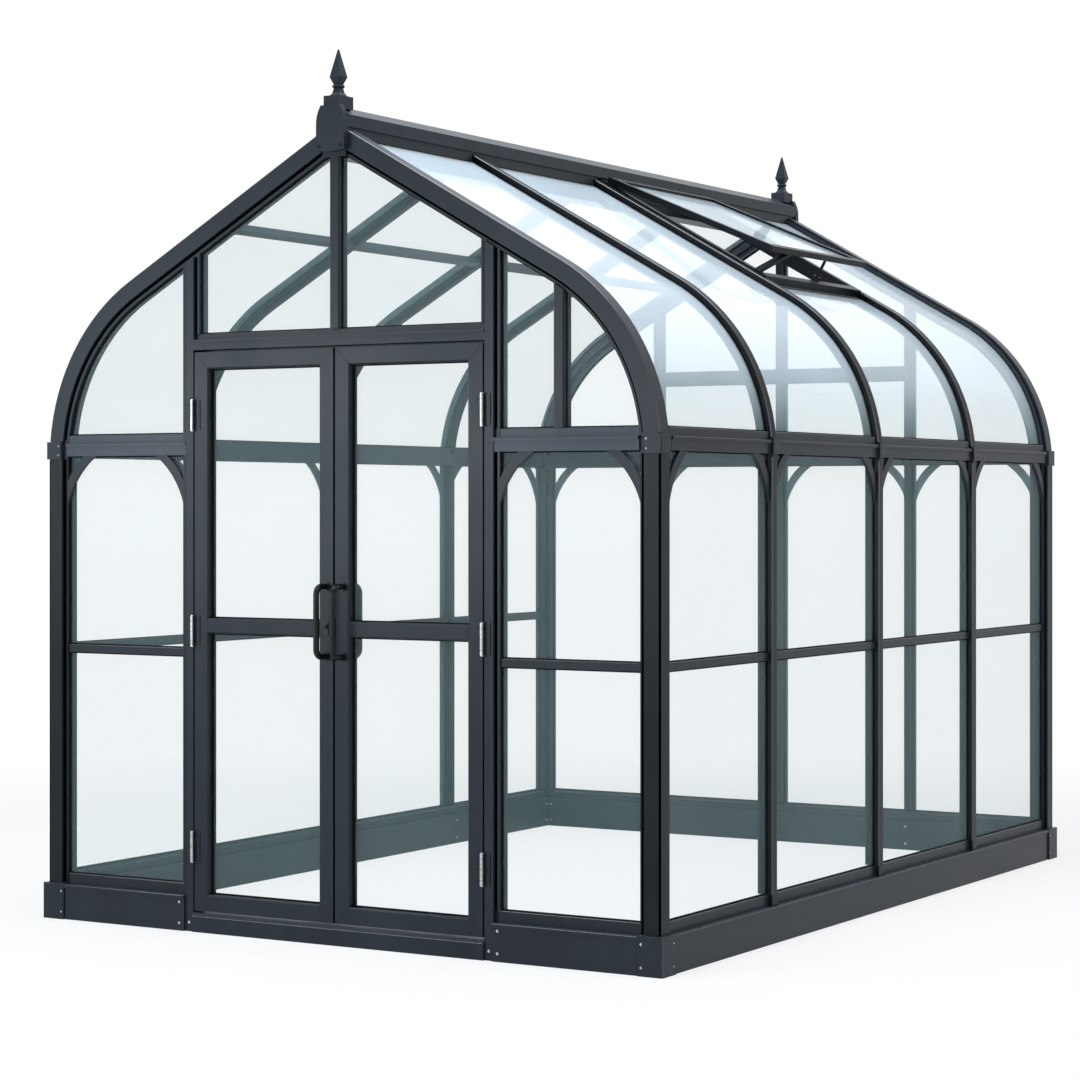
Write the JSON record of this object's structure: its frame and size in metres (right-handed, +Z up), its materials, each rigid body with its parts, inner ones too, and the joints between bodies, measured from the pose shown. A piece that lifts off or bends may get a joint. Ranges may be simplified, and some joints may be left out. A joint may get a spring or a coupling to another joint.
{
  "type": "victorian greenhouse",
  "caption": "Free-standing curved-eave greenhouse with a charcoal metal frame, clear glazing, outward-opening double doors, a propped roof vent and ridge finials.",
  "frame": {"origin": "on the ground, under the middle of the whole outline with the doors closed", "axes": "+X to the right seen from the doors, +Y from the doors to the back, +Z up"},
  "size_m": [2.44, 3.434, 2.917],
  "materials": {
    "frame_paint": "satin charcoal powder coat",
    "glass": "clear toughened glass",
    "hinge_steel": "satin steel",
    "handle_black": "smooth black coat"
  },
  "bodies": {
    "greenhouse": {"base_corner_blocks": "frame_paint", "base_front": "frame_paint", "base_back": "frame_paint", "base_sides": "frame_paint", "door_threshold": "frame_paint", "corner_posts": "frame_paint", "right_side_posts": "frame_paint", "left_side_posts": "frame_paint", "back_posts": "frame_paint", "door_jambs": "frame_paint", "door_header": "frame_paint", "back_transom": "frame_paint", "front_eave_beams": "frame_paint", "back_eave_beams": "frame_paint", "side_eave_beams": "frame_paint", "eave_brackets": "frame_paint", "end_mid_rails": "frame_paint", "side_mid_rails": "frame_paint", "end_knee_braces": "frame_paint", "side_knee_braces": "frame_paint", "front_gable_mullions": "frame_paint", "front_gable_ribs": "frame_paint", "back_gable_ribs": "frame_paint", "right_roof_ribs": "frame_paint", "left_roof_ribs": "frame_paint", "ridge_beam": "frame_paint", "ridge_finials": "frame_paint", "left_roof_purlin": "frame_paint", "front_glass": "glass", "back_glass": "glass", "right_wall_glass": "glass", "left_wall_glass": "glass", "right_roof_glass": "glass", "left_roof_glass": "glass", "vent_curb": "frame_paint", "vent_sash": "frame_paint", "vent_glass": "glass", "vent_stays": "frame_paint", "jamb_hinges": "hinge_steel"},
    "left_door": {"left_door_frame": "frame_paint", "left_door_glass": "glass", "left_door_handles": "handle_black", "left_door_hinges": "hinge_steel", "door_lock": "hinge_steel"},
    "right_door": {"right_door_frame": "frame_paint", "right_door_glass": "glass", "right_door_handles": "handle_black", "right_door_hinges": "hinge_steel"}
  },
  "joints": [
    {"name": "left_door_hinge", "type": "hinge", "parent": "greenhouse", "child": "left_door", "pos_m": [-0.573, -1.6613, 1], "axis": [0, 0, -1], "range_deg": [0, 105]},
    {"name": "right_door_hinge", "type": "hinge", "parent": "greenhouse", "child": "right_door", "pos_m": [0.573, -1.6613, 1], "axis": [0, 0, 1], "range_deg": [0, 105]}
  ]
}
